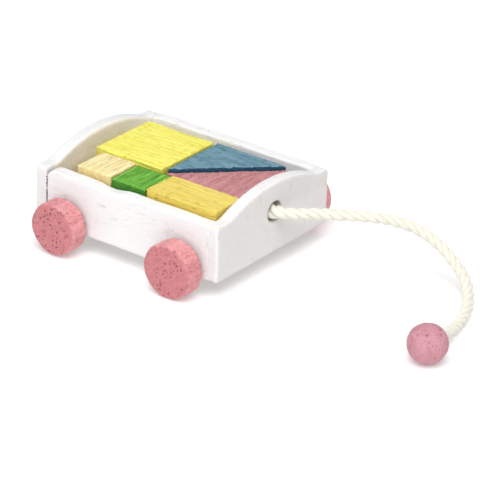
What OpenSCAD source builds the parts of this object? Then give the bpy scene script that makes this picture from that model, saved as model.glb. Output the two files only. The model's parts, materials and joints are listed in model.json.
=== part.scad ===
// Block wagon with a pull cord: a white wooden tray on four wheels, packed with six blocks.
// Millimetres. The origin is on the ground under the middle of the tray, +X points to the
// front board and its cord, +Y to the wagon's left, +Z up.

/* [Tray] */
// Length of the tray over both end boards
body_l = 44; // [36:0.5:56]
// Width of the tray over both side boards
body_w = 35; // [28:0.5:44]
// Height of the side boards and of the end boards' shoulders
side_h = 11.5; // [9:0.5:15]
// Height of each end board's arch above its shoulders
arch_rise = 3; // [1.5:0.1:5]
// Width of the flat shoulder at each end of an arch
shoulder_w = 3.8; // [2.5:0.1:6]
// Thickness of the end boards
end_t = 2.8; // [2:0.1:4]
// Thickness of the side boards
side_t = 2.6; // [2:0.1:3.2]
// Thickness of the floor board
floor_t = 1.8; // [1.2:0.1:3]

/* [Wheels] */
// Diameter of the wheels
wheel_d = 11; // [8:0.1:13]
// Thickness of the wheels
wheel_t = 4.5; // [3.6:0.1:6]
// Radius of the rounded wheel edges
wheel_round = 0.8; // [0.3:0.1:1.2]
// Gap between each wheel and its side board when the axles lie in the middle
wheel_gap = 0.9; // [0.9:0.1:2]
// Distance by which the axles are pushed sideways in their holes, to the wagon's left
axle_shift = 0.4; // [0:0.1:0.4]
// Distance from each end of the tray to its axle
axle_inset = 8.2; // [6.4:0.1:10]
// Diameter of the axle dowels
axle_d = 1.6; // [1.2:0.1:2]
// Height of the axles above the lower edge of the boards
axle_rise = 1.7; // [1.2:0.1:2]
// Depth of the blind bore in each wheel
axle_seat = 3; // [2:0.1:3.2]

/* [Blocks] */
// Space between neighbouring blocks
block_gap = 0.3; // [0.2:0.05:0.8]
// Space between the large yellow block and the two triangles
triangle_gap = 0.9; // [0.3:0.1:1.2]
// Space between the right row of blocks and the boards to its right and ahead of it
board_gap = 0.3; // [0.2:0.05:1]
// Spare length left behind the right row of blocks
spare_l = 5.1; // [2.5:0.1:8]
// Spare width left beside the left row of blocks
spare_w = 4.9; // [0.5:0.1:6]
// Height of the large yellow block
large_h = 8.3; // [6:0.1:10]
// Height of the long yellow block
long_h = 8.1; // [6:0.1:10]
// Height of the natural cube
natural_h = 8; // [6:0.1:10]
// Height of the green cube
green_h = 7.7; // [6:0.1:10]
// Length by which the two triangular blocks are longer than the large yellow block
triangle_extra = 0.9; // [0:0.1:1.2]
// Height of the blue triangular block
blue_h = 8.5; // [6:0.1:10]
// Height of the pink triangular block
pink_h = 7.8; // [6:0.1:10]

/* [Cord] */
// Diameter of the cord
cord_d = 2.2; // [1.6:0.1:2.6]
// Diameter of the hole for the cord
hole_d = 4.2; // [3.8:0.1:5]
// Height of the hole above the lower edge of the front board
hole_up = 8.6; // [7:0.1:9.5]
// Diameter of the ball at the cord's end
ball_d = 7.6; // [5.8:0.1:9]
// Depth of the cord's seat in the ball
ball_seat = 2; // [1:0.1:2.4]
// Overhang of the knot's head around the hole
knot_lip = 0.6; // [0.4:0.1:1.4]
// Thickness of the knot's head behind the front board
knot_t = 1; // [0.8:0.1:2.4]
// Depth inside the hole's mouth at which the cord comes out of the knot
knot_depth = 1.2; // [0.6:0.1:1.6]
// Space between the knot and the blocks behind it
knot_gap = 0.3; // [0.2:0.1:1]

/* [Hidden] */
$fn = 64;

// running clearance, on the radius, of an axle in its side boards
axle_play = 0.05;
// clearance, on the radius, of the cord in the ball's bore and of the knot in the hole
cord_play = 0.15;
// space between an axle and the floor board above it
floor_gap = 0.4;
// a cutter's overlap past the face that it opens
cut = 1;

white = [0.95, 0.95, 0.94];
pink = [0.83, 0.52, 0.55];
cream = [0.95, 0.93, 0.84];
dowel_wood = [0.80, 0.66, 0.46];

// heights above the ground
axle_z = wheel_d / 2;
base_z = axle_z - axle_rise;
floor_z = axle_z + axle_d / 2 + floor_gap;
block_z = floor_z + floor_t;
hole_z = base_z + hole_up;

// inside of the tray, and the places of the two axles
tray_l = body_l - 2 * end_t;
tray_w = body_w - 2 * side_t;
front_x = tray_l / 2;
axle_x = body_l / 2 - axle_inset;

// All the blocks share one module, the side of a small cube. It is the largest with which four
// fit along the tray and three across it.
module_s = min((tray_l - spare_l - board_gap - 2 * block_gap) / 4,
               (tray_w - spare_w - board_gap - block_gap) / 3);
large_s = 2 * module_s;

// the right row is pushed forward to the front board: long block, green cube, natural cube
right_y = -tray_w / 2 + board_gap;
long_x = front_x - board_gap - large_s;
green_x = long_x - block_gap - module_s;
natural_x = green_x - block_gap - module_s;

// the left row ends behind the knot: two triangles, then the large yellow block
left_y = right_y + module_s + block_gap;
triangle_l = large_s + triangle_extra;
triangle_x = front_x - knot_t - knot_gap - triangle_l;
large_x = triangle_x - triangle_gap - large_s;

// the gap across the triangles' shared diagonal, measured along an edge
slant = block_gap * sqrt(2);

// the arch is one arc through both shoulders' inner ends and the crown
arch_half = body_w / 2 - shoulder_w;
arch_r = (arch_half * arch_half + arch_rise * arch_rise) / (2 * arch_rise);

// The cord's route, from the knot in the hole to its seat in the ball. It leaves the hole
// straight, swings to the left, comes down to the ground and turns back to the ball.
cord_route = [
    [20.8, 0, 12.4], [21.3, 0, 12.4], [22.3, 0.13, 12.4], [23.3, 0.43, 12.4], [24.4, 1, 12.4],
    [26.1, 2.2, 12.4], [28, 3.6, 12.5], [30.4, 5.3, 12.5], [32.9, 6.9, 12.5], [35, 8.5, 12.4],
    [37.2, 10.5, 12], [39.3, 12.5, 11.5], [41.5, 14.2, 10.7], [43.8, 15.5, 9.9],
    [46.4, 16.1, 8.8], [49, 16.3, 7.5], [51.4, 16, 6.2], [53.9, 15.3, 4.9], [56.2, 14, 3.8],
    [58.3, 11.9, 2.7], [60, 9.3, 2], [61.3, 6.4, 1.5], [62.2, 3.4, 1.3], [63, 0.4, 1.5],
    [63.8, -2.6, 2.2], [64.5, -5.3, 3.2], [64.9, -7.5, 3.8], [64.9, -9.8, 3.8]
];
cord_sides = 8;
cord_end = cord_route[len(cord_route) - 1];

function unit(v) = v / norm(v);
// the direction of the cord at point i, along the route's end segments at the two ends
function heading(p, i) =
    i == 0 ? unit(p[1] - p[0]) :
    i == len(p) - 1 ? unit(p[i] - p[i - 1]) :
    unit(unit(p[i + 1] - p[i]) + unit(p[i] - p[i - 1]));
// a ring of points square to heading t, level on its sides
function ring(c, t, r, n) =
    let (side = unit(cross([0, 0, 1], t)), top = cross(t, side))
    [for (k = [0 : n - 1]) c + r * (cos(360 * k / n) * side + sin(360 * k / n) * top)];

// a tube of n sides along the points p
module swept_tube(p, r, n) {
    last = len(p) - 1;
    rings = [for (i = [0 : last]) each ring(p[i], heading(p, i), r, n)];
    walls = [for (i = [0 : last - 1], k = [0 : n - 1])
        let (a = i * n + k, b = i * n + (k + 1) % n)
        each [[a, a + n, b], [b, a + n, b + n]]];
    first_cap = [for (k = [0 : n - 1]) k];
    last_cap = [for (k = [0 : n - 1]) last * n + n - 1 - k];
    polyhedron(rings, concat(walls, [first_cap, last_cap]));
}

// a board standing across the wagon at x, with the arch on top
module arched_board(x) {
    translate([x, -body_w / 2, base_z]) cube([end_t, body_w, side_h]);
    intersection() {
        translate([x, -arch_half, base_z + side_h / 2])
            cube([end_t, 2 * arch_half, side_h / 2 + arch_rise]);
        translate([x, 0, base_z + side_h + arch_rise - arch_r])
            rotate([0, 90, 0]) cylinder(h = end_t, r = arch_r, $fn = 96);
    }
}

// a side board between the end boards, with its lower right corner at y
module side_board(y) {
    difference() {
        translate([-tray_l / 2, y, base_z]) cube([tray_l, side_t, side_h]);
        for (x = [-axle_x, axle_x])
            translate([x, y - cut, axle_z]) rotate([-90, 0, 0])
                cylinder(h = side_t + 2 * cut, r = axle_d / 2 + axle_play);
    }
}

// a wheel with rounded edges, its inner face at y = 0 and its outer face at y = wheel_t
module wheel() {
    rotate([-90, 0, 0]) difference() {
        rotate_extrude() {
            square([wheel_d / 2 - wheel_round, wheel_t]);
            translate([0, wheel_round]) square([wheel_d / 2, wheel_t - 2 * wheel_round]);
            for (z = [wheel_round, wheel_t - wheel_round])
                translate([wheel_d / 2 - wheel_round, z]) circle(r = wheel_round);
        }
        translate([0, 0, -cut]) cylinder(h = axle_seat + cut, d = axle_d);
    }
}

module left_wheel_at(x) {
    translate([x, body_w / 2 + wheel_gap + axle_shift, axle_z]) wheel();
}

module right_wheel_at(x) {
    translate([x, -body_w / 2 - wheel_gap + axle_shift, axle_z]) rotate([0, 0, 180]) wheel();
}

// an axle that ends on the floors of both wheels' blind bores
module axle_at(x) {
    axle_l = body_w + 2 * wheel_gap + 2 * axle_seat;
    translate([x, axle_shift - axle_l / 2, axle_z]) rotate([-90, 0, 0])
        cylinder(h = axle_l, d = axle_d);
}

// a square or oblong block standing on the floor board
module block(x, y, size_x, size_y, h) {
    translate([x, y, block_z]) cube([size_x, size_y, h]);
}

// half of the large square, standing on the floor board, from its corner list
module triangle_block(corners, h) {
    translate([0, 0, block_z]) linear_extrude(height = h) polygon(corners);
}

module front_board() {
    color(white) difference() {
        arched_board(front_x);
        translate([front_x - cut, 0, hole_z]) rotate([0, 90, 0])
            cylinder(h = end_t + 2 * cut, d = hole_d);
    }
}

module rear_board() {
    color(white) arched_board(-body_l / 2);
}

module left_side_board() {
    color(white) side_board(body_w / 2 - side_t);
}

module right_side_board() {
    color(white) side_board(-body_w / 2);
}

module floor_board() {
    color(white) translate([-tray_l / 2, -tray_w / 2, floor_z]) cube([tray_l, tray_w, floor_t]);
}

module front_axle() {
    color(dowel_wood) axle_at(axle_x);
}

module rear_axle() {
    color(dowel_wood) axle_at(-axle_x);
}

module front_left_wheel() {
    color(pink) left_wheel_at(axle_x);
}

module front_right_wheel() {
    color(pink) right_wheel_at(axle_x);
}

module rear_left_wheel() {
    color(pink) left_wheel_at(-axle_x);
}

module rear_right_wheel() {
    color(pink) right_wheel_at(-axle_x);
}

module large_yellow_block() {
    color([0.97, 0.93, 0.42]) block(large_x, left_y, large_s, large_s, large_h);
}

module long_yellow_block() {
    color([0.94, 0.83, 0.42]) block(long_x, right_y, large_s, module_s, long_h);
}

module natural_block() {
    color([0.95, 0.88, 0.65]) block(natural_x, right_y, module_s, module_s, natural_h);
}

module green_block() {
    color([0.42, 0.68, 0.26]) block(green_x, right_y, module_s, module_s, green_h);
}

module blue_triangle_block() {
    color([0.40, 0.57, 0.65]) triangle_block([
        [triangle_x, left_y + slant],
        [triangle_x + triangle_l - slant * triangle_l / large_s, left_y + large_s],
        [triangle_x, left_y + large_s]
    ], blue_h);
}

module pink_triangle_block() {
    color([0.82, 0.58, 0.56]) triangle_block([
        [triangle_x, left_y],
        [triangle_x + triangle_l, left_y],
        [triangle_x + triangle_l, left_y + large_s]
    ], pink_h);
}

module pull_cord() {
    color(cream) swept_tube(cord_route, cord_d / 2, cord_sides);
}

// the knot: a flat head behind the front board, and a neck in the hole that meets the cord
module cord_knot() {
    neck_l = end_t - knot_depth;
    color(cream) translate([front_x, 0, hole_z]) rotate([0, 90, 0]) {
        translate([0, 0, -knot_t]) cylinder(h = knot_t, d = hole_d + 2 * knot_lip);
        translate([0, 0, -knot_t / 2])
            cylinder(h = knot_t / 2 + neck_l, d = hole_d - 2 * cord_play);
    }
}

// the ball stands on the ground, with a blind bore along Y for the cord's end
module pull_ball() {
    bore_r = cord_d / 2 + cord_play;
    color(pink) difference() {
        translate([cord_end[0], cord_end[1] + ball_seat - ball_d / 2, ball_d / 2])
            sphere(d = ball_d);
        translate(cord_end) rotate([-90, 0, 0]) cylinder(h = ball_d, r = bore_r);
    }
}

front_board();
rear_board();
left_side_board();
right_side_board();
floor_board();
front_axle();
rear_axle();
front_left_wheel();
front_right_wheel();
rear_left_wheel();
rear_right_wheel();
large_yellow_block();
long_yellow_block();
natural_block();
green_block();
blue_triangle_block();
pink_triangle_block();
pull_cord();
cord_knot();
pull_ball();
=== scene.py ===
# %% [markdown]
# # A block wagon on a pull cord
# This lesson dresses a small wooden wagon: four painted boards, four stained wheels on two
# dowels, six loose blocks, and a cotton cord that ends in a wooden ball. The real one is a
# dolls' house toy 44 mm long, so its wood pores and brush marks are large for its size.
# First the finished design is loaded as a frame. It says where everything is, in metres, and
# nothing in it is moved.

# %% Load the frame
import json
import math

import bmesh
import bpy
import numpy as np
from mathutils import Matrix, Vector, noise

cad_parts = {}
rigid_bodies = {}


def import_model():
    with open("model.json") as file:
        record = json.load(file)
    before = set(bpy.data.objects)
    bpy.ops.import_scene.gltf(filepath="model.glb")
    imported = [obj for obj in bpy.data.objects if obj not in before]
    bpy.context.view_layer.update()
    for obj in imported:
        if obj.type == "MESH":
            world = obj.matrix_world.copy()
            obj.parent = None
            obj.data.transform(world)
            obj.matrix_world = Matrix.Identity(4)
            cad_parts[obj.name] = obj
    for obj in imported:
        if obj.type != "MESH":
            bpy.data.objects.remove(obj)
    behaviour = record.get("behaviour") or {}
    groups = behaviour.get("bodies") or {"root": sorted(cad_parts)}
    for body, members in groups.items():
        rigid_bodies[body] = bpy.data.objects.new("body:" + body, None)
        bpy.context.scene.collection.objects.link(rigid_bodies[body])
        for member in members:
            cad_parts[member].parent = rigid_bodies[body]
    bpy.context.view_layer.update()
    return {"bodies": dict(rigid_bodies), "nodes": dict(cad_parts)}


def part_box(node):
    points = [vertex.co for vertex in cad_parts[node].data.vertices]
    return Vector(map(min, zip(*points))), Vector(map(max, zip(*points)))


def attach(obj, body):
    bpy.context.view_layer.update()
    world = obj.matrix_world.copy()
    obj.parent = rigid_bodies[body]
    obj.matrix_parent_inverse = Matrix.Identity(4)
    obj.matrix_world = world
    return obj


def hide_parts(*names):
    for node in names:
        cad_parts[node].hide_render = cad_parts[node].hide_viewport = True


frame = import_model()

MM = 0.001


# %% [markdown]
# ## The camera
# A long lens from well back keeps the small boards nearly parallel, as a product picture does.
# The camera is placed by the point it aims at, the direction back to it and a slight roll,
# because those three can be set one at a time.

# %% Place the camera
aim = Vector((12.51, 5.60, -0.81)) * MM
back = Vector((0.5274, -0.7246, 0.4437)).normalized()
level = Vector((-back.y, back.x, 0)).normalized()
above = back.cross(level)
roll = math.radians(1.77)
camera = bpy.data.objects.new("camera", bpy.data.cameras.new("camera"))
bpy.context.scene.collection.objects.link(camera)
turned = Matrix((
    level * math.cos(roll) + above * math.sin(roll),
    above * math.cos(roll) - level * math.sin(roll),
    back,
)).transposed()
distance = 573.6 * MM
camera.matrix_world = Matrix.Translation(aim + back * distance) @ turned.to_4x4()
camera.data.lens = 214.1
camera.data.sensor_width = 36
bpy.context.scene.camera = camera
print("camera at", [round(c / MM) for c in camera.location], "mm")


# %% [markdown]
# ## The floor and the light
# The wagon stands on a pale sheet that glows a little, like a light table, so its shadows stay
# close and soft. One broad lamp hangs over the front right corner and a pale sky fills in the
# rest, so the tops are brightest, then the right side, then the front.

# %% Lay the floor and hang the lamp
def bare():
    """Deselects everything, so that the next operator acts on nothing old."""
    bpy.ops.object.select_all(action="DESELECT")


bare()
bpy.ops.mesh.primitive_plane_add(size=6)
floor = bpy.context.object
floor.name = "floor"
floor_sheet = bpy.data.materials.new("floor_sheet")
floor_sheet.use_nodes = True
sheet = floor_sheet.node_tree.nodes["Principled BSDF"]
sheet.inputs["Base Color"].default_value = (0.8, 0.8, 0.8, 1)
sheet.inputs["Roughness"].default_value = 0.9
sheet.inputs["Specular IOR Level"].default_value = 0.1
sheet.inputs["Emission Color"].default_value = (1, 1, 1, 1)
sheet.inputs["Emission Strength"].default_value = 0.25
floor.data.materials.append(floor_sheet)

sky = bpy.data.worlds.new("pale sky")
sky.use_nodes = True
sky.node_tree.nodes["Background"].inputs["Color"].default_value = (1, 1, 1, 1)
sky.node_tree.nodes["Background"].inputs["Strength"].default_value = 0.46
bpy.context.scene.world = sky

bare()
bpy.ops.object.light_add(type="AREA", location=Vector((0.2, -0.3, 0.6)))
lamp = bpy.context.object
lamp.name = "lamp"
lamp.data.shape = "DISK"
lamp.data.size = 0.6
lamp.data.energy = 4.7
lamp.rotation_euler = (Vector((0.01, 0, 0.01)) - lamp.location).to_track_quat("-Z", "Y").to_euler()
bpy.context.scene.view_settings.view_transform = "Standard"
print("lamp", round(lamp.location.length, 2), "m away")


# %% [markdown]
# ## Shader maths as sums
# Every finish below is mixed from patterns. A small class wraps a node's output, so that
# `1 - mask * 0.3` adds the Math nodes by itself, and one method adds any other node.

# %% A socket that can be added and multiplied
class Wire:
    """An output in a finish, which can be used in sums."""

    def __init__(self, finish, socket):
        self.finish, self.socket = finish, socket

    def sum(self, how, first, second):
        return self.finish.node("ShaderNodeMath", {"operation": how}, {0: first, 1: second})

    def __add__(self, other):
        return self.sum("ADD", self, other)

    def __sub__(self, other):
        return self.sum("SUBTRACT", self, other)

    def __mul__(self, other):
        return self.sum("MULTIPLY", self, other)

    def __rsub__(self, other):
        return self.sum("SUBTRACT", other, self)

    __radd__, __rmul__ = __add__, __mul__


# %% A finish and its patterns
def tone(red, green, blue, light=1.0):
    """A colour as it looks, 0 to 255, under this much light, as the surface's own colour."""
    parts = [c / 255 for c in (red, green, blue)]
    linear = [c / 12.92 if c <= 0.04045 else ((c + 0.055) / 1.055) ** 2.4 for c in parts]
    return tuple(min(c / light, 0.95) for c in linear) + (1.0,)


class Finish:
    """A material, and the patterns that it is mixed from."""

    def __init__(self, name, roughness=0.6, gloss=0.35):
        self.material = bpy.data.materials.new(name)
        self.material.use_nodes = True
        self.tree = self.material.node_tree
        self.surface = self.tree.nodes["Principled BSDF"]
        self.surface.inputs["Roughness"].default_value = roughness
        self.surface.inputs["Specular IOR Level"].default_value = gloss
        self.place = self.node("ShaderNodeTexCoord", out="Object")

    def node(self, kind, settings=None, inputs=None, out=0):
        """Adds a node: its settings first, then the values or links of its sockets."""
        made = self.tree.nodes.new(kind)
        for key, value in (settings or {}).items():
            setattr(made, key, value)
        for key, value in (inputs or {}).items():
            if isinstance(value, Wire):
                self.tree.links.new(value.socket, made.inputs[key])
            else:
                made.inputs[key].default_value = value
        return Wire(self, made.outputs[out])

    def stretched(self, size, seed, wobble=0.0):
        """Object coordinates where a step of 1 is this many millimetres along X, Y and Z."""
        scale = [1 / (s * MM) for s in size]
        place = self.node("ShaderNodeMapping", {}, {
            "Vector": self.place, "Scale": scale, "Location": [seed * 7.3, seed * 3.1, seed * 5.7]})
        if not wobble:
            return place
        shake = self.node("ShaderNodeTexNoise", {}, {"Vector": place, "Scale": 2.3}, out="Color")
        return self.node("ShaderNodeVectorMath", {"operation": "MULTIPLY_ADD"},
                         {0: shake, 1: (wobble,) * 3, 2: place})

    def cloud(self, size, seed=0.0, detail=2.0, rough=0.5):
        """Soft noise from 0 to 1 with lumps of this size in millimetres."""
        return self.node("ShaderNodeTexNoise", {}, {
            "Vector": self.stretched(size, seed), "Scale": 1.0, "Detail": detail,
            "Roughness": rough}, out="Fac")

    def spots(self, size, seed, share, radius, wobble=0.5):
        """Ragged spots: this share of cells of this size in millimetres holds one."""
        cell = self.node("ShaderNodeTexVoronoi", {"feature": "F1"}, {
            "Vector": self.stretched(size, seed, wobble), "Scale": 1.0}, out="Distance")
        hue = Wire(self, cell.socket.node.outputs["Color"])
        chance = self.node("ShaderNodeSeparateColor", {}, {0: hue}, out=0)
        return self.ramp(cell, radius, radius * 0.6) * self.ramp(chance, 1 - share, 1.04 - share)

    def ramp(self, value, start, end):
        """0 below start and 1 above end, with a soft step between. Start may be the higher."""
        return self.node("ShaderNodeMapRange", {"interpolation_type": "SMOOTHSTEP"}, {
            "Value": value, "From Min": start, "From Max": end})

    def mix(self, share, under, over):
        """The colour under with the colour over laid on it by share."""
        return self.node("ShaderNodeMix", {"data_type": "RGBA"}, {0: share, 6: under, 7: over}, out=2)

    def marked(self, name):
        """A value that was stored on the piece's points."""
        return self.node("ShaderNodeAttribute", {"attribute_name": name}, out="Fac")

    def part(self, vector, axis):
        """The X, Y or Z of a vector, for axis 0, 1 or 2."""
        return self.node("ShaderNodeSeparateXYZ", {}, {0: vector}, out=axis)

    def facing(self, axis):
        """1 where the surface faces along this axis, either way, and 0 where it is side on."""
        normal = self.node("ShaderNodeTexCoord", out="Normal")
        return self.node("ShaderNodeMath", {"operation": "ABSOLUTE"}, {0: self.part(normal, axis)})

    def close(self, colour, height, depth, roughness=None):
        """Joins the colour, the relief in millimetres and the roughness to the surface."""
        self.tree.links.new(colour.socket, self.surface.inputs["Base Color"])
        bump = self.node("ShaderNodeBump", {}, {"Height": height, "Distance": depth * MM,
                                                "Strength": 1.0})
        self.tree.links.new(bump.socket, self.surface.inputs["Normal"])
        if roughness:
            self.tree.links.new(roughness.socket, self.surface.inputs["Roughness"])
        print("finish", self.material.name, "has", len(self.tree.nodes), "nodes")
        return self.material


# %% [markdown]
# ## White paint
# The boards are brushed with thick water paint over open-grained wood. Real paint shows three
# things: strokes along the brush, the wood's grain telegraphing through as hairlines, and
# yellow wood where a corner has rubbed. All three are mixed from stretched noise. On the
# tray's inside the paint is a thin wash, its warm tint partly the wood coming through and
# partly painted bounce light from the blocks, and it is painted brighter than the outer paint
# as painted light. Low down towards the rear right corner it is painted brown and dark as
# painted shade. The mark called cleft is the open joint, whose slit is painted dark as its
# shade, and nick is a chip in the rim.

# %% Mix the white paint
def grain_size(axis, across, along):
    """Sizes along X, Y and Z of a pattern that is long with the grain and fine across it."""
    return tuple(along if a == axis else across for a in "xyz")


def white_paint(name, axis, seed, light, x_faces_painted_shade):
    """White paint over grain along an axis. The last argument greys the faces that look along X, as
    painted shade.
    """
    f = Finish(name, roughness=0.5, gloss=0.4)
    strokes = f.cloud(grain_size(axis, 0.4, 7), seed, 3.0, 0.6)
    lumps = f.cloud((0.38, 0.38, 0.38), seed + 3, 3.0, 0.65)
    patch = f.cloud((2.4, 2.4, 2.4), seed + 2, 2.0)
    hair = f.ramp(f.cloud(grain_size(axis, 0.15, 3.0), seed + 1, 1.0), 0.62, 0.74)
    hair = hair * f.ramp(patch, 0.50, 0.62)
    pits = f.spots((1.5, 1.5, 1.5), seed + 4, 0.35, 0.09)
    edge = f.marked("edge")
    rubbed = f.ramp(edge + f.cloud((1.3, 1.3, 1.3), seed + 5, 3.0, 0.6) * 1.2, 1.62, 1.78)
    chips = f.cloud(grain_size(axis, 0.3, 0.9), seed + 7, 3.0)
    nick = f.ramp(f.marked("nick") + chips * 0.8, 0.95, 1.1)
    colour = f.mix(strokes * 0.5 + lumps * 0.6, tone(250, 249, 249, light), tone(232, 231, 231, light))
    # Painted shade: faces that look along X, the front face among them, are greyed by the last
    # argument.
    colour = f.mix(f.ramp(f.facing(0), 0.6, 0.9) * x_faces_painted_shade, colour, tone(222, 218, 216, light))
    colour = f.mix(hair * 0.35 + pits * 0.5, colour, tone(172, 162, 152))
    colour = f.mix(rubbed * 0.35, colour, tone(232, 214, 170))
    colour = f.mix(nick * 0.55, colour, tone(240, 226, 176))
    thin = f.cloud(grain_size("y", 0.5, 6), seed + 6, 3.0)
    # Inside coat: a warm near-white, brighter than the outer paint. Partly a thin coat that lets the
    # wood's colour through, partly painted light for the light and the warm bounce inside the rear
    # board.
    inside_coat_and_painted_light = f.mix(thin, tone(252, 246, 238), tone(240, 228, 214))
    left, up = f.part(f.place, 1), f.part(f.place, 2)
    # Painted shade: the inside coat is painted darker and browner low down and towards the rear right
    # corner.
    painted_corner_shade = (1 - f.ramp(up, 11 * MM, 14.5 * MM)) * (1 - f.ramp(left, -10 * MM, 0 * MM) * 0.85)
    inside_coat_and_painted_light = f.mix(painted_corner_shade * 0.8, inside_coat_and_painted_light, tone(196, 172, 150))
    colour = f.mix(f.marked("inside"), colour, inside_coat_and_painted_light)
    wood = f.mix(lumps, tone(186, 160, 136), tone(120, 92, 74))
    colour = f.mix(f.marked("bare"), colour, wood)
    # Painted shade: where a joint has opened, the faces inside the slit are painted near-black brown,
    # standing for the shade in the slit.
    slit_painted_shade = f.ramp(f.marked("cleft") + f.cloud((0.5, 0.5, 0.7), seed + 8, 2.0) * 0.9, 1.4, 1.48)
    colour = f.mix(slit_painted_shade, colour, tone(74, 56, 50))
    height = strokes * 0.5 + lumps * 0.6 - hair * 0.4 - pits * 0.8 - nick * 0.5
    return f.close(colour, height, 0.13, 0.42 + strokes * 0.25)


# The end boards' paint is set a little darker than the side boards', and its faces that look along X
# are greyer still: painted shade.
paint_across = white_paint("white_paint_across", "z", 1.0, 1.08, 0.75)
paint_along = white_paint("white_paint_along", "x", 2.0, 1.03, 0.0)


# %% [markdown]
# ## Stained wood
# A stain is thin and soaks in, so the grain stays on show: fine fibres, broader soft bands and
# open pores that hold more colour. Pores are long tubes. Cells that are stretched along the
# grain cut as dashes on the sides and as round dots on the ends, all from one pattern. Ends
# drink more stain and turn darker, and handled edges turn paler.

# %% Mix the stains
def stain(name, axis, light, dark, pore, seed, pore_size=0.3, pore_share=0.5, pore_long=9,
          groove=0.5, speck=0.0, worn=None, side=0.5, flank_painted_shade=None, end=0.2, fleck=0.14,
          fibre_long=2.2, wear=0.0):
    """Stained wood with its grain along an axis. The colours are the stain's light and dark
    and its pores'. Pore size and fibre length are in millimetres, and pore_long is how many
    times its width a pore is long. The rest are shares from 0 to 1: how many pores and big
    specks there are, and how strongly grooves, ends, flecks and worn edges show, and how far
    side darkens the upright faces towards flank, as painted shade."""
    f = Finish(name, roughness=0.62, gloss=0.3)
    fibre = f.cloud(grain_size(axis, 0.13, fibre_long), seed, 3.0, 0.65)
    bands = f.cloud(grain_size(axis, 0.9, 12), seed + 1, 2.0)
    grooves = f.ramp(f.cloud(grain_size(axis, 0.26, 5.5), seed + 2, 2.0), 0.54, 0.68)
    pores = f.spots(grain_size(axis, pore_size, pore_size * pore_long), seed + 3, pore_share, 0.30)
    ends = f.ramp(f.facing("XYZ".index(axis.upper())), 0.6, 0.9)
    edge = f.marked("edge")
    colour = f.mix(f.ramp(fibre * 0.7 + bands * 0.6, 0.42, 0.95), light, dark)
    colour = f.mix(grooves * groove, colour, dark)
    colour = f.mix(ends * end, colour, dark)
    # Painted shade: upright faces are darkened by side, towards flank or the dark stain, so that the
    # tops look lit.
    colour = f.mix((1 - f.ramp(f.facing(2), 0.35, 0.75)) * side, colour, flank_painted_shade or dark)
    colour = f.mix(pores * 0.75, colour, pore)
    height = fibre * 0.5 + bands * 0.3 - grooves * 0.6 - pores * 0.7
    if speck:
        specks = f.spots((0.8, 2.0, 0.8), seed + 4, speck, 0.32, 0.9)
        specks = specks * f.ramp(f.cloud((2.6, 2.6, 2.6), seed + 7, 2.0), 0.38, 0.5)
        colour = f.mix(specks * (ends * 0.6 + 0.25), colour, pore)
        height = height - specks * 0.9
    flecks = f.ramp(f.cloud((0.17, 0.17, 0.17), seed + 6, 3.0, 0.7), 0.48, 0.72)
    colour = f.mix(flecks * fleck, colour, pore)
    rub = f.ramp(edge + f.cloud((1.0, 1.0, 1.0), seed + 5, 3.0) * 0.8, 0.95 - wear, 1.35 - wear)
    colour = f.mix(rub * 0.45, colour, worn or light)
    return f.close(colour, height, 0.08, 0.5 + fibre * 0.2 + pores * 0.15)


pink_wheel = stain("pink_stain", "y", tone(242, 172, 172, 1.1), tone(206, 124, 130, 1.1),
                   tone(136, 56, 66, 1.08), 11, 0.24, 0.5, 1.5, groove=0.0, speck=0.95,
                   side=0.0, end=0.65, fleck=0.36, fibre_long=0.3, wear=0.15,
                   worn=tone(252, 200, 202, 1.08))
pink_ball = stain("pink_ball_stain", "z", tone(238, 176, 186, 1.36), tone(216, 146, 160, 1.36),
                  tone(164, 88, 108, 1.08), 12, 0.3, 0.35, 1.5, groove=0.1, speck=0.3,
                  side=0.0, fleck=0.25, fibre_long=0.4, worn=tone(248, 204, 210, 1.08))
lemon = stain("lemon_stain", "x", tone(255, 252, 132, 1.1), tone(240, 226, 84, 1.1),
              tone(196, 172, 50, 1.1), 13, 0.2, 0.25, groove=0.7)
straw = stain("straw_stain", "x", tone(250, 232, 126, 1.1), tone(230, 200, 84, 1.1),
              tone(150, 116, 40, 1.1), 14, 0.24, 0.3, groove=0.6)
plain_wood = stain("natural_wood", "y", tone(255, 250, 196, 1.06), tone(236, 208, 140, 1.06),
                   tone(166, 126, 76, 1.1), 15, 0.3, 0.35, groove=0.8)
leaf = stain("green_stain", "y", tone(138, 212, 78, 1.1), tone(56, 126, 32, 1.1),
             tone(24, 70, 18, 1.1), 16, 0.34, 0.55, groove=1.0, side=0.7)
slate = stain("blue_stain", "x", tone(126, 166, 180, 1.1), tone(84, 126, 148, 1.1),
              tone(34, 62, 84, 1.1), 17, 0.26, 0.5, groove=0.8, side=1.0,
              flank_painted_shade=tone(36, 78, 106, 1.1))
rose = stain("rose_stain", "y", tone(220, 158, 158, 1.1), tone(182, 118, 124, 1.1),
             tone(126, 66, 76, 1.1), 18, 0.22, 0.7, 4, groove=0.7, speck=0.3, fleck=0.25)
dowel = stain("bare_dowel", "y", tone(226, 196, 146), tone(196, 160, 106), tone(128, 92, 54), 19)


# %% [markdown]
# ## Tools for shaping wood
# A cut piece starts as a primitive at its size and place. Its edges are bevelled, then a
# voxel remesh lays an even net of small faces over it, so that a Displace modifier can make
# it slightly uneven everywhere, as hand-cut and sanded wood is. How sharply each point bends
# is stored on the piece, and the finishes use it to find the edges that rub.

# %% Helpers for cutting and sanding
def block_of(low, high):
    """A cube primitive that fills the box between two corners, in metres."""
    bare()
    middle = (Vector(low) + Vector(high)) / 2
    bpy.ops.mesh.primitive_cube_add(size=1, location=middle, scale=Vector(high) - Vector(low))
    bpy.ops.object.transform_apply(location=True, rotation=True, scale=True)
    return bpy.context.object


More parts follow.
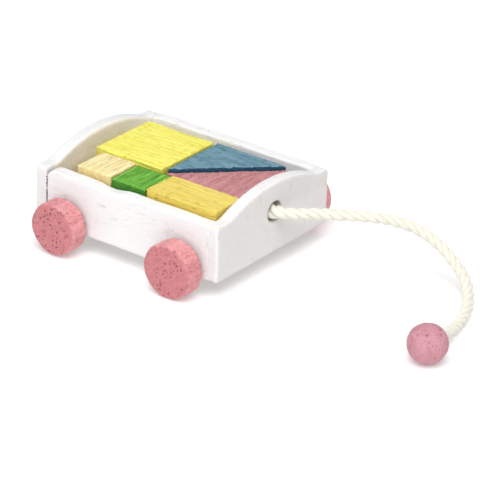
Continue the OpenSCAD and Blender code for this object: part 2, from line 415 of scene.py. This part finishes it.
def rod_of(centre, direction, radius, length, vertices=64):
    """A cylinder primitive with its axis along a direction."""
    bare()
    turn = Vector(direction).to_track_quat("Z", "Y").to_euler()
    bpy.ops.mesh.primitive_cylinder_add(vertices=vertices, radius=radius, depth=length,
                                        location=centre, rotation=turn)
    bpy.ops.object.transform_apply(location=True, rotation=True, scale=True)
    return bpy.context.object


def only(piece):
    """Selects one piece and nothing else."""
    bare()
    piece.select_set(True)
    bpy.context.view_layer.objects.active = piece


def modify(piece, kind, **settings):
    """Adds a modifier with these settings and applies it."""
    only(piece)
    made = piece.modifiers.new(kind.lower(), kind)
    for key, value in settings.items():
        setattr(made, key, value)
    bpy.ops.object.modifier_apply(modifier=made.name)


def drill(piece, cutter):
    """Cuts one piece's shape out of another, and throws the cutter away."""
    modify(piece, "BOOLEAN", operation="DIFFERENCE", object=cutter, solver="EXACT")
    bpy.data.objects.remove(cutter)


def pick(piece, kind, test):
    """In edit mode, selects the verts, edges or faces that pass a test."""
    bpy.ops.mesh.select_all(action="DESELECT")
    bpy.ops.mesh.select_mode(type={"verts": "VERT", "edges": "EDGE", "faces": "FACE"}[kind])
    shape = bmesh.from_edit_mesh(piece.data)
    for part in getattr(shape, kind):
        if test(part):
            part.select_set(True)
    shape.select_flush_mode()
    bmesh.update_edit_mesh(piece.data)


def ripple(piece, size, depth, seed, stretch=(1, 1, 1), group="", mid=0.5):
    """Pushes the surface, or one vertex group, in and out by noise that may be stretched."""
    pattern = bpy.data.textures.new("ripple", "CLOUDS")
    pattern.noise_scale = size * MM
    pattern.noise_depth = 1
    bare()
    bpy.ops.object.empty_add(location=Vector((3.7, 1.9, 2.3)) * seed * MM)
    guide = bpy.context.object
    guide.scale = stretch
    bpy.context.view_layer.update()
    modify(piece, "DISPLACE", texture=pattern, texture_coords="OBJECT",
           texture_coords_object=guide, strength=depth * 2 * MM, mid_level=mid,
           vertex_group=group)
    bpy.data.objects.remove(guide)
    bpy.data.textures.remove(pattern)


def mark_edges(piece, net):
    """Stores on each point how sharply the surface bends outwards, as the attribute edge for
    the finish and as the vertex group edges for fraying."""
    mesh = piece.data
    count = len(mesh.vertices)
    place, normal = np.empty(count * 3), np.empty(count * 3)
    mesh.vertices.foreach_get("co", place)
    mesh.vertices.foreach_get("normal", normal)
    place, normal = place.reshape(-1, 3), normal.reshape(-1, 3)
    ends = np.empty(len(mesh.edges) * 2, int)
    mesh.edges.foreach_get("vertices", ends)
    a, b = ends.reshape(-1, 2).T
    share = np.bincount(np.r_[a, b], minlength=count)[:, None]

    def around(values):
        total = np.zeros_like(values)
        np.add.at(total, a, values[b])
        np.add.at(total, b, values[a])
        return total / share

    bend = ((place - around(place)) * normal).sum(1, keepdims=True) / (net * MM)
    for _ in range(4):
        bend = (bend + around(bend)) / 2
    sharp = np.clip(bend[:, 0] * 9, 0, 1).astype(np.float32)
    stored = mesh.attributes.new("edge", "FLOAT", "POINT")
    stored.data.foreach_set("value", sharp)
    group = piece.vertex_groups.new(name="edges")
    for step in range(1, 11):
        group.add(np.flatnonzero(np.ceil(sharp * 10) == step).tolist(), step / 10, "REPLACE")


def sand(piece, net, round_off, seed, grain=None, wave=0.05, groove=0.03, fray=0.0):
    """Rounds a piece's edges, lays an even net over it, makes it uneven and frays its edges."""
    if round_off:
        modify(piece, "BEVEL", width=round_off * MM, segments=3, limit_method="ANGLE",
               angle_limit=math.radians(40), use_clamp_overlap=False)
    modify(piece, "REMESH", mode="VOXEL", voxel_size=net * MM)
    mark_edges(piece, net)
    ripple(piece, 4.0, wave, seed)
    ripple(piece, 1.1, wave * 0.5, seed + 5)
    if grain:
        ripple(piece, 0.45, groove, seed + 9, stretch=grain_size(grain, 1, 14))
    if fray:
        ripple(piece, 0.42, fray, seed + 13, group="edges", mid=0.75)
    piece.vertex_groups.clear()
    only(piece)
    bpy.ops.object.shade_smooth()
    return piece


def round_edges(piece, radius, joint):
    """Bevels the sharp edges, but only a little where a joint's test says so."""
    at_joint = 0.12
    bpy.ops.object.mode_set(mode="EDIT")
    for size, at in ((radius, False), (at_joint, True)):
        pick(piece, "edges", lambda e: e.calc_face_angle(0) > 0.7
             and joint((e.verts[0].co + e.verts[1].co) / 2) == at)
        bpy.ops.mesh.bevel(offset=size * MM, segments=3, affect="EDGES", clamp_overlap=False)
    bpy.ops.object.mode_set(mode="OBJECT")


def finish(piece, name, node, slot, material):
    """Names a piece, gives it its finish, and lets it stand for its part of the frame."""
    piece.name = piece.data.name = name
    piece.data.materials.clear()
    piece.data.materials.append(material)
    body = next(b for b, e in frame["bodies"].items() if frame["nodes"][node].parent == e)
    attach(piece, body)
    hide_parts(node)
    piece.data.calc_loop_triangles()
    print(name, "rides on", body, "with", len(piece.data.loop_triangles), "triangles")


# %% [markdown]
# ## The two arched end boards
# Each end board is sawn from a strip with a low arch on top and a flat shoulder at each side.
# A cube gives the strip. Bisecting it into columns and raising the top of each column by the
# arch's height is quick, and keeps the flat shoulders exact. Where the arch meets a shoulder
# the saw leaves a soft hollow, so the rise is eased in.

# %% Measure the arch and cut the end boards
front_low, front_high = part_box("front_board")
side_low, side_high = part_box("right_side_board")
shoulder_top, crown = side_high.z, front_high.z
shoulder = 3.8 * MM
half_chord = front_high.y - shoulder
rise = crown - shoulder_top
arch_radius = (half_chord ** 2 + rise ** 2) / (2 * rise)


def arch_height(y):
    """How far the arch stands over the shoulders at y."""
    ease = 0.8 * MM
    if abs(y) > half_chord + ease:
        return 0.0
    arc = math.sqrt(arch_radius ** 2 - min(abs(y), half_chord) ** 2) - arch_radius + rise
    inward = (half_chord + ease - abs(y)) / (2 * ease)
    if inward >= 1:
        return arc
    slope = half_chord / math.sqrt(arch_radius ** 2 - half_chord ** 2)
    return slope * ease * inward * inward * (1 - 0.03 * inward)


def end_board(node):
    """An arched board, with the top of its far corner, the left one, worn down a little."""
    low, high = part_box(node)
    piece = block_of(low, Vector((high.x, high.y, shoulder_top)))
    bpy.ops.object.mode_set(mode="EDIT")
    columns = np.linspace(low.y, high.y, 71)[1:-1]
    for y in columns:
        bpy.ops.mesh.select_all(action="SELECT")
        bpy.ops.mesh.bisect(plane_co=(0, y, 0), plane_no=(0, 1, 0))
    for y in (*columns, high.y):
        worn = max(0.0, 1 - (high.y - y) / (1.5 * MM)) ** 2 * 0.5 * MM
        pick(piece, "verts", lambda v: abs(v.co.y - y) < 1e-6 and v.co.z > low.z + 1 * MM)
        bpy.ops.transform.translate(value=(0, 0, arch_height(y) - worn))
    bpy.ops.object.mode_set(mode="OBJECT")
    round_edges(piece, 0.55, lambda p: abs(p.x) < front_low.x + 1e-6
                and abs(p.y) > front_high.y - 1e-6)
    return piece


front = end_board("front_board")
rear = end_board("rear_board")
knot_low, knot_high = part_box("cord_knot")
hole_z = (knot_low.z + knot_high.z) / 2
hole_radius = 2.1
drill(front, rod_of((front_low.x + 1.4 * MM, 0, hole_z), (1, 0, 0), hole_radius * MM, 8 * MM))
print("arch of radius", round(arch_radius / MM, 1), "mm, chord", round(2 * half_chord / MM, 1), "mm")


# %% [markdown]
# The cord's hole goes through the front board after its edges are rounded, so that its rim
# stays crisp. Places with their own look are stored on the points: the inside of the rear
# board, with its wash and its painted light and shade, bare wood in the hole, laid on more
# heavily on its upper wall as painted shade, rubbed nicks, and the cleft where a joint has
# opened, painted dark as the shade in its slit.

# %% Sand and finish the end boards
def mark(piece, name, value):
    """Stores a value, worked out from each point's place and normal in millimetres."""
    stored = piece.data.attributes.new(name, "FLOAT", "POINT")
    for v, kept in zip(piece.data.vertices, stored.data):
        kept.value = value(v.co / MM, v.normal)


def near(places):
    """A value that is 1 at any of these places and 0 at its radius from it, all in millimetres."""
    spots = [(Vector(place), radius) for place, radius in places]
    return lambda p, n: max(max(0.0, 1 - (p - place).length / radius) for place, radius in spots)


inner_x, inner_y, hole = front_low.x / MM, side_high.y / MM, Vector((0, hole_z / MM))
nicks = [((x, -17.4, 15.25), 0.75) for x in (19.6, 20.2, 20.8, 21.4, 21.9)]
nicks.append(((21.9, -16.7, 15.3), 0.7))


def in_hole(p, n):
    """1 on the upper wall of the cord's hole, fading just outside it and towards its floor: bare wood,
    laid on more heavily on the upper wall, which faces down, as painted shade.
    """
    out = (p.yz - hole).length - hole_radius
    # Painted shade: the downward-facing upper wall takes more of the dark bare wood than the lit lower
    # wall.
    upper = min(1.0, max(0.15, 0.5 - 0.9 * n.z + 0.6 * n.y))
    return min(1.0, max(0.0, (0.26 - out) / 0.2)) * upper


def in_cleft(p, n):
    """1 where the rear board faces the right side board's end, above the wheel."""
    faces_end = p.x > -inner_x - 0.2 and p.y < inner_y and n.x > 0.4
    return 1.0 if faces_end and 6 < p.z < 13.7 else 0.0


def washed(p, n):
    """1 on the rear board's inner face, between the side boards."""
    return 0.0 if abs(p.y) > -inner_y else min(1.0, max(0.0, n.x * 2 - 0.8))


for board, node, seed in ((front, "front_board", 1), (rear, "rear_board", 2)):
    sand(board, 0.22, 0, seed, grain="z", wave=0.05, groove=0.012)
    mark(board, "nick", near(nicks))
    if board == front:
        mark(board, "bare", in_hole)
    else:
        mark(board, "inside", washed)
        mark(board, "cleft", in_cleft)
    finish(board, node + "_wood", node, "white_paint", paint_across)


# %% [markdown]
# ## The two side boards
# A side board is a plain strip between the end boards. Its rim is not quite straight: it was
# knocked low beside the green cube, and its rear corner is worn round, which opens a cleft
# against the rear board, painted dark as the shade in its slit. Bisecting gives the rim points
# to lower, as for the arch.

# %% Cut the side boards
# Along each rim: how far from the middle, and how far the rim is worn down there.
rim_wear = {
    "right_side_board": [(-19.2, 1.6), (-18.9, 1.0), (-18.5, 0.6), (-18.0, 0.3), (-17.4, 0.1),
                         (-16.5, 0.0), (-13.0, 0.05), (-9.5, 0.1), (-7.5, 0.25), (-5.5, 0.55),
                         (-4.0, 0.6), (-2.5, 0.4), (-1.0, 0.12), (1.0, 0.0), (6.0, 0.1),
                         (12.0, 0.0), (19.2, 0.05)],
    "left_side_board": [(-19.2, 0.5), (-18.6, 0.2), (-17.5, 0.0), (-8.0, 0.1), (2.0, 0.0),
                        (11.0, 0.12), (17.0, 0.0), (19.2, 0.1)],
}
axle_places = [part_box(n) for n in ("front_axle", "rear_axle")]
axle_hole_radius = 1.0


def side_board(node):
    """A strip let into both end boards, except where the right one's rear joint has opened."""
    low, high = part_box(node)
    let_in = 0.8 * MM
    near_end = 18.95
    open_joint = -0.07 * MM if node == "right_side_board" else let_in
    piece = block_of((low.x - open_joint, low.y, low.z), (high.x + let_in, high.y, high.z))
    bpy.ops.object.mode_set(mode="EDIT")
    for x, _ in rim_wear[node][1:-1]:
        bpy.ops.mesh.select_all(action="SELECT")
        bpy.ops.mesh.bisect(plane_co=(x * MM, 0, 0), plane_no=(1, 0, 0))
    for x, drop in rim_wear[node]:
        reach = 1.0 if abs(x) > 19 else 0.01
        pick(piece, "verts", lambda v: abs(v.co.x / MM - x) < reach and v.co.z > high.z - 0.1 * MM
             and (abs(x) < 19 or abs(v.co.x / MM) > near_end))
        bpy.ops.transform.translate(value=(0, 0, -drop * MM))
    bpy.ops.object.mode_set(mode="OBJECT")
    round_edges(piece, 0.45, lambda p: abs(p.x) > near_end * MM)
    for axle_low, axle_high in axle_places:
        centre = (axle_low + axle_high) / 2
        drill(piece, rod_of((centre.x, (low.y + high.y) / 2, centre.z), (0, 1, 0),
                            axle_hole_radius * MM, 6 * MM, 32))
    return piece


rim_nicks = [((x, -17.4, 15.0), 0.6) for x in (-11.4, -10.8, -10.2, -5.2, -4.6, -4.0, -3.4)]
for node, seed in (("right_side_board", 3), ("left_side_board", 4)):
    board = side_board(node)
    sand(board, 0.22, 0, seed, grain="x", wave=0.05, groove=0.015)
    if node == "right_side_board":
        mark(board, "nick", near(rim_nicks))
        # The side board's end in the open joint takes the slit's painted shade too.
        mark(board, "cleft", lambda p, n: 1.0 if p.x < -18.7 and n.x < -0.45 else 0.0)
    finish(board, node + "_wood", node, "white_paint", paint_along)


# %% [markdown]
# ## The floor board and the axles
# The floor board is a thin sheet let in between the four boards, and the axles are cut from
# dowel. Neither shows much, but both are seen from below, so they are sanded like the rest.

# %% Make the floor board and the axles
low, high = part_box("floor_board")
bottom = sand(block_of(low, high), 0.3, 0.2, 5, grain="x", wave=0.03, groove=0.02)
finish(bottom, "floor_board_wood", "floor_board", "white_paint", paint_along)

for node, seed in (("front_axle", 6), ("rear_axle", 7)):
    low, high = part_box(node)
    rod = rod_of((low + high) / 2, (0, 1, 0), (high.x - low.x) / 2, high.y - low.y, 32)
    sand(rod, 0.16, 0.15, seed, grain="y", wave=0.015, groove=0.012)
    finish(rod, node + "_wood", node, "bare_dowel", dowel)


# %% [markdown]
# ## The wheels
# A wheel is a slice sawn off a thick rod, tumbled until its edges are round, then dipped in
# pink stain. The slice is a cylinder whose two rims are bevelled wide, with a blind hole for
# the axle. It is made once and copied, each copy with its own mesh, and each is rippled with
# its own seed, because no two slices wear alike. Two are a little small, and the rear right
# one is glued on a little high, so that it just clears the ground.

# %% Make the wheels
wheel_low, wheel_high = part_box("front_right_wheel")
wheel_radius = (wheel_high.z - wheel_low.z) / 2
wheel_width = wheel_high.y - wheel_low.y
slice_of_rod = rod_of((0, 0, 0), (0, 1, 0), wheel_radius, wheel_width, 96)
modify(slice_of_rod, "BEVEL", width=0.9 * MM, segments=5, limit_method="ANGLE",
       angle_limit=math.radians(60))
bore_radius, bore_depth = 0.85 * MM, 3 * MM
drill(slice_of_rod, rod_of((0, wheel_width / 2, 0), (0, 1, 0), bore_radius, 2 * bore_depth, 32))

wheels = {
    "front_right_wheel": (21, 1.0, 0.0),
    "rear_right_wheel": (22, 0.96, 0.1),
    "front_left_wheel": (23, 1.0, 0.0),
    "rear_left_wheel": (24, 0.99, 0.0),
}
for node, (seed, size, lift) in wheels.items():
    low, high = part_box(node)
    wheel = slice_of_rod.copy()
    wheel.data = slice_of_rod.data.copy()
    bpy.context.scene.collection.objects.link(wheel)
    only(wheel)
    if "left" in node:
        wheel.rotation_euler = (0, 0, math.pi)
    wheel.scale = (size, 1, size)
    wheel.location = (low + high) / 2 + Vector((0, 0, lift * MM))
    bpy.ops.object.transform_apply(location=True, rotation=True, scale=True)
    sand(wheel, 0.2, 0, seed, grain="y", wave=0.13, groove=0.01)
    finish(wheel, node + "_wood", node, "pink_stain", pink_wheel)
bpy.data.objects.remove(slice_of_rod)


# %% [markdown]
# ## The blocks
# The blocks are sawn from soft striped wood, and the saw leaves ridges along the grain that
# show as small teeth where they reach an end. The square ones start as cubes. The triangles
# start as three-sided cylinders whose corners are pulled to their places.

# %% Make the square and oblong blocks
# For each block: its slot, its finish, the way its grain runs, its seed and its ridges' depth.
blocks = {
    "large_yellow_block": ("lemon_stain", lemon, "x", 31, 0.09),
    "long_yellow_block": ("straw_stain", straw, "x", 32, 0.05),
    "natural_block": ("natural_wood", plain_wood, "y", 33, 0.05),
    "green_block": ("green_stain", leaf, "y", 34, 0.07),
    "blue_triangle_block": ("blue_stain", slate, "x", 35, 0.08),
    "pink_triangle_block": ("rose_stain", rose, "y", 36, 0.05),
}
for node in list(blocks)[:4]:
    slot, material, grain, seed, ridge = blocks[node]
    piece = sand(block_of(*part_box(node)), 0.14, 0.26, seed, grain=grain, wave=0.06,
                 groove=ridge, fray=0.2)
    finish(piece, node + "_wood", node, slot, material)


# %% Make the triangles
def triangle_of(node, corners):
    """A three-sided cylinder with its corners pulled to these places, between two heights."""
    low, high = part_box(node)
    middle = (low + high) / 2
    piece = rod_of(middle, (0, 0, 1), 5 * MM, high.z - low.z, 3)
    bpy.ops.object.mode_set(mode="EDIT")
    shape = bmesh.from_edit_mesh(piece.data)
    starts = sorted({(round(v.co.x, 7), round(v.co.y, 7)) for v in shape.verts},
                    key=lambda p: math.atan2(p[1] - middle.y, p[0] - middle.x))
    ends = sorted(corners, key=lambda p: math.atan2(p[1] - middle.y, p[0] - middle.x))
    for start, end in zip(starts, ends):
        pick(piece, "verts", lambda v: (v.co.xy - Vector(start)).length < 1e-6)
        bpy.ops.transform.translate(value=(end[0] - start[0], end[1] - start[1], 0))
    bpy.ops.object.mode_set(mode="OBJECT")
    return piece


for node in list(blocks)[4:]:
    slot, material, grain, seed, ridge = blocks[node]
    low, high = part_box(node)
    corners = [(low.x, low.y), (high.x, high.y)]
    corners.append((low.x, high.y) if node.startswith("blue") else (high.x, low.y))
    piece = sand(triangle_of(node, corners), 0.14, 0.2, seed, grain=grain, wave=0.05, groove=ridge,
                 fray=0.2)
    finish(piece, node + "_wood", node, slot, material)


# %% [markdown]
# ## The cotton
# The cord is three soft strands laid round each other, each spun from fine yarn. Its finish
# follows the strand: one UV direction runs along it and the other round it, so fine slanted
# lines can be drawn as the spinner's twist, and how deep a point lies between the strands is
# a stored value, which darkens the colour there as painted shade.

# %% Mix the cotton
def cotton(name, light, dark):
    f = Finish(name, roughness=0.9, gloss=0.15)
    f.surface.inputs["Sheen Weight"].default_value = 0.4
    f.surface.inputs["Sheen Roughness"].default_value = 0.5
    uv = f.node("ShaderNodeUVMap", {"uv_map": "strand"})
    turn = (f.part(uv, 0) * 9 - f.part(uv, 1) * 1.6) * (2 * math.pi)
    yarn = f.node("ShaderNodeMath", {"operation": "SINE"}, {0: turn}) * 0.5 + 0.5
    fibre = f.cloud((0.12, 0.12, 0.12), 41, 4.0, 0.7)
    soft = f.cloud((1.3, 1.3, 1.3), 42, 2.0)
    depth = f.marked("depth")
    colour = f.mix(fibre * 0.4 + soft * 0.3, light, dark)
    # Painted shade: the colour darkens where a point lies deep between the strands.
    colour = f.mix(depth * 0.65, colour, tone(220, 212, 180))
    return f.close(colour, yarn * 0.4 + fibre * 0.9, 0.07)


cotton_cord = cotton("cotton", tone(254, 253, 243, 1.18), tone(250, 246, 228, 1.18))


# %% [markdown]
# ## The pull cord
# The route is the same list of points as in the design: out of the hole, round to the left,
# down to the ground and back into the ball. A smooth line is drawn through it, and a frame is
# carried along that line without twisting. Each strand then winds round the line, once in
# every 6.4 mm, and is drawn as a tube in the same sweep.

# %% The route and a line through it
route = [Vector(p) * MM for p in (
    (20.8, 0, 12.4), (21.3, 0, 12.4), (22.3, 0.13, 12.4), (23.3, 0.43, 12.4), (24.4, 1, 12.4),
    (26.1, 2.2, 12.4), (28, 3.6, 12.5), (30.4, 5.3, 12.5), (32.9, 6.9, 12.5), (35, 8.5, 12.4),
    (37.2, 10.5, 12), (39.3, 12.5, 11.5), (41.5, 14.2, 10.7), (43.8, 15.5, 9.9),
    (46.4, 16.1, 8.8), (49, 16.3, 7.5), (51.4, 16, 6.2), (53.9, 15.3, 4.9), (56.2, 14, 3.8),
    (58.3, 11.9, 2.7), (60, 9.3, 2), (61.3, 6.4, 1.5), (62.2, 3.4, 1.3), (63, 0.4, 1.5),
    (63.8, -2.6, 2.2), (64.5, -5.3, 3.2), (64.9, -7.5, 3.8), (64.9, -9.8, 3.8))]


def smooth_line(points, step):
    """Points a step apart on a smooth line through these points."""
    ends = [2 * points[0] - points[1], *points, 2 * points[-1] - points[-2]]
    fine = []
    for a, b, c, d in zip(ends, ends[1:], ends[2:], ends[3:]):
        for i in range(40):
            t = i / 40
            fine.append(0.5 * (2 * b + (c - a) * t + (2 * a - 5 * b + 4 * c - d) * t * t
                               + (3 * b - a - 3 * c + d) * t ** 3))
    fine.append(points[-1].copy())
    along = [0.0]
    for a, b in zip(fine, fine[1:]):
        along.append(along[-1] + (b - a).length)
    count = round(along[-1] / step)
    wanted = np.linspace(0, along[-1], count + 1)
    axes = [np.interp(wanted, along, [p[k] for p in fine]) for k in range(3)]
    return [Vector(p) for p in zip(*axes)], along[-1]


def carried_frames(line):
    """At each point: the heading, and two directions across it that turn as little as they can."""
    headings = [(b - a).normalized() for a, b in zip(line, line[1:])]
    headings.append(headings[-1].copy())
    side = headings[0].cross(Vector((0, 0, 1))).normalized()
    frames = []
    for heading in headings:
        side = (side - heading * side.dot(heading)).normalized()
        frames.append((heading, side, heading.cross(side)))
    return frames


cord_lay = 6.4 * MM
cord_line, cord_length = smooth_line(route, 0.16 * MM)
print("the cord is", round(cord_length / MM, 1), "mm long")


# %% Lay three strands into a cord
def shown(mesh):
    """Makes a mesh an object of the same name in the scene."""
    made = bpy.data.objects.new(mesh.name, mesh)
    bpy.context.scene.collection.objects.link(made)
    return made


def lay_strands(name, line, lay, spread, thick, sides=18, swell=None):
    """Three tubes wound round a line. Spread is a strand's distance from it, thick its radius.
    Swell says how much wider they lie at each share of the way along."""
    frames = carried_frames(line)
    step = (line[1] - line[0]).length
    points, faces, uvs, groove_painted_shade = [], [], [], []
    for strand in range(3):
        start = len(points)
        for i, (centre, (heading, side, over)) in enumerate(zip(line, frames)):
            s = i * step
            turn = 2 * math.pi * (s / lay + strand / 3)
            wide = swell(i / (len(line) - 1)) if swell else 1
            uneven = 1 + 0.07 * noise.noise(Vector((s / MM * 0.9, strand * 9.1, 0.5)))
            out = side * math.cos(turn) + over * math.sin(turn)
            across = over * math.cos(turn) - side * math.sin(turn)
            middle = centre + out * spread * wide
            for k in range(sides):
                angle = 2 * math.pi * k / sides
                lump = 1 + 0.05 * noise.noise(Vector((s / MM * 2.5, math.cos(angle) * 2 + strand * 5,
                                                      math.sin(angle) * 2)))
                r = thick * wide * uneven * lump
                points.append(middle + out * math.cos(angle) * r + across * math.sin(angle) * r)
                reach = (points[-1] - centre).length / wide
                # How deep the point lies between the strands, stored for the cord's painted shade.
                groove_painted_shade.append(1 - min(1, max(0, (reach - 0.55 * MM) / (0.42 * MM))))
        for i in range(len(line) - 1):
            for k in range(sides):
                a, b = start + i * sides + k, start + i * sides + (k + 1) % sides
                faces.append((a, b, b + sides, a + sides))
                v0, v1 = i * step / MM, (i + 1) * step / MM
                uvs += [(k / sides, v0), ((k + 1) / sides, v0), ((k + 1) / sides, v1), (k / sides, v1)]
        last = start + (len(line) - 1) * sides
        faces.append(tuple(range(start + sides - 1, start - 1, -1)))
        faces.append(tuple(range(last, last + sides)))
        uvs += [(0, 0)] * (2 * sides)
    mesh = bpy.data.meshes.new(name)
    mesh.from_pydata(points, [], faces)
    layer = mesh.uv_layers.new(name="strand")
    layer.data.foreach_set("uv", np.array(uvs, np.float32).ravel())
    stored = mesh.attributes.new("depth", "FLOAT", "POINT")
    stored.data.foreach_set("value", np.array(groove_painted_shade, np.float32))
    mesh.shade_smooth()
    return shown(mesh)


cord = lay_strands("pull_cord_strands", cord_line, cord_lay, 0.47 * MM, 0.66 * MM,
                   swell=lambda s: 1 + 0.45 * max(0, 1 - s * cord_length / (2.6 * MM)) ** 0.8)
finish(cord, "pull_cord_strands", "pull_cord", "cotton", cotton_cord)


# %% [markdown]
# ## The knot
# Behind the front board the three strands are unlaid and tied in each other into a flat
# button, a wall knot, which cannot pull back through the hole. Its strand follows the line of
# a trefoil, the simplest closed knot, pressed flat. In the hole the strands gather again.

# %% Tie the knot
knot_x = knot_low.x + 0.5 * MM
knot_line = []
for i in range(240):
    t = 2 * math.pi * i / 240
    reach = (1.30 + 0.82 * math.cos(3 * t)) * MM
    knot_line.append(Vector((knot_x + 0.14 * MM * math.sin(3 * t), reach * math.cos(2 * t),
                             hole_z + reach * math.sin(2 * t))))
knot_line.append(knot_line[0].copy())
knot = lay_strands("cord_knot_strands", knot_line, 3.0 * MM, 0.17 * MM, 0.23 * MM, 10)
neck_line = [Vector((x, 0, hole_z)) for x in np.linspace(knot_x, knot_high.x + 0.35 * MM, 24)]
neck = lay_strands("neck", neck_line, cord_lay, 0.53 * MM, 0.575 * MM, 18,
                   swell=lambda s: 1.0 + 0.55 * max(0, 1 - s * 1.15) ** 0.7)
only(knot)
neck.select_set(True)
bpy.ops.object.join()
finish(knot, "cord_knot_strands", "cord_knot", "cotton", cotton_cord)


# %% [markdown]
# ## The ball
# The grip is a turned ball with a blind hole, and the cord's end is glued into it. A sphere is
# drilled, then sanded and rippled like the wheels.

# %% Make the ball
ball_low, ball_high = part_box("pull_ball")
ball_radius = (ball_high.x - ball_low.x) / 2
bare()
bpy.ops.mesh.primitive_uv_sphere_add(segments=64, ring_count=40, radius=ball_radius,
                                     location=(route[-1].x, ball_low.y + ball_radius, ball_radius))
bpy.ops.object.transform_apply(location=True, rotation=True, scale=True)
ball = bpy.context.object
seat_radius = 1.25 * MM
drill(ball, rod_of(route[-1] + Vector((0, 3 * MM, 0)), (0, 1, 0), seat_radius, 6 * MM, 32))
sand(ball, 0.2, 0.15, 25, wave=0.12)
finish(ball, "pull_ball_wood", "pull_ball", "pink_stain", pink_ball)


# %% [markdown]
# ## Loose fibres
# Cotton is never clean: short fibres stand off it and soften its outline. Each is a bent
# three-sided whisker of a few faces, rooted on the cord. They are scattered by noise with
# fixed seeds, so that every run grows the same ones.

# %% Grow the fibres
def whiskers(line, count, seed):
    """A mesh of this many short fibres standing off a line, without any that touch the ground."""
    frames = carried_frames(line)
    chance = np.random.RandomState(seed)
    points, faces = [], []
    for _ in range(count):
        i = chance.randint(10, len(line) - 14)
        heading, side, over = frames[i]
        turn = chance.uniform(0, 2 * math.pi)
        out = side * math.cos(turn) + over * math.sin(turn)
        drift = heading * chance.uniform(-1, 1) + out.cross(heading) * chance.uniform(-0.9, 0.9)
        length, thin = chance.uniform(0.35, 1.1) * MM, chance.uniform(0.010, 0.018) * MM
        root = line[i] + out * 0.92 * MM
        lean = (out * 0.55 + drift).normalized()
        path = [root + lean * length * t + out * length * 0.35 * t * t for t in (0, 0.35, 0.7, 1)]
        if min(p.z for p in path) < 0.05 * MM:
            continue
        first, wide = len(points), (lean.cross(out)).normalized()
        for j, p in enumerate(path):
            r = thin * (1 - 0.22 * j)
            points += [p + wide * r, p - wide * r * 0.5 + out * r * 0.8,
                       p - wide * r * 0.5 - out * r * 0.8]
        for j in range(3):
            a = first + j * 3
            faces += [(a + k, a + (k + 1) % 3, a + 3 + (k + 1) % 3, a + 3 + k) for k in range(3)]
        faces += [(first + 2, first + 1, first), (first + 9, first + 10, first + 11)]
    mesh = bpy.data.meshes.new("cord_fibres")
    mesh.from_pydata(points, [], faces)
    return shown(mesh)


def fibre_finish():
    f = Finish("cotton_fibre", roughness=0.9, gloss=0.1)
    shade = f.cloud((0.8, 0.8, 0.8), 43, 2.0)
    return f.close(f.mix(shade, tone(254, 252, 240), tone(238, 232, 208)), shade, 0.01)


fibres = whiskers(cord_line, 900, 7)
fibres.data.materials.append(fibre_finish())
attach(fibres, "tray")
print("grew", len(fibres.data.polygons) // 11, "fibres")
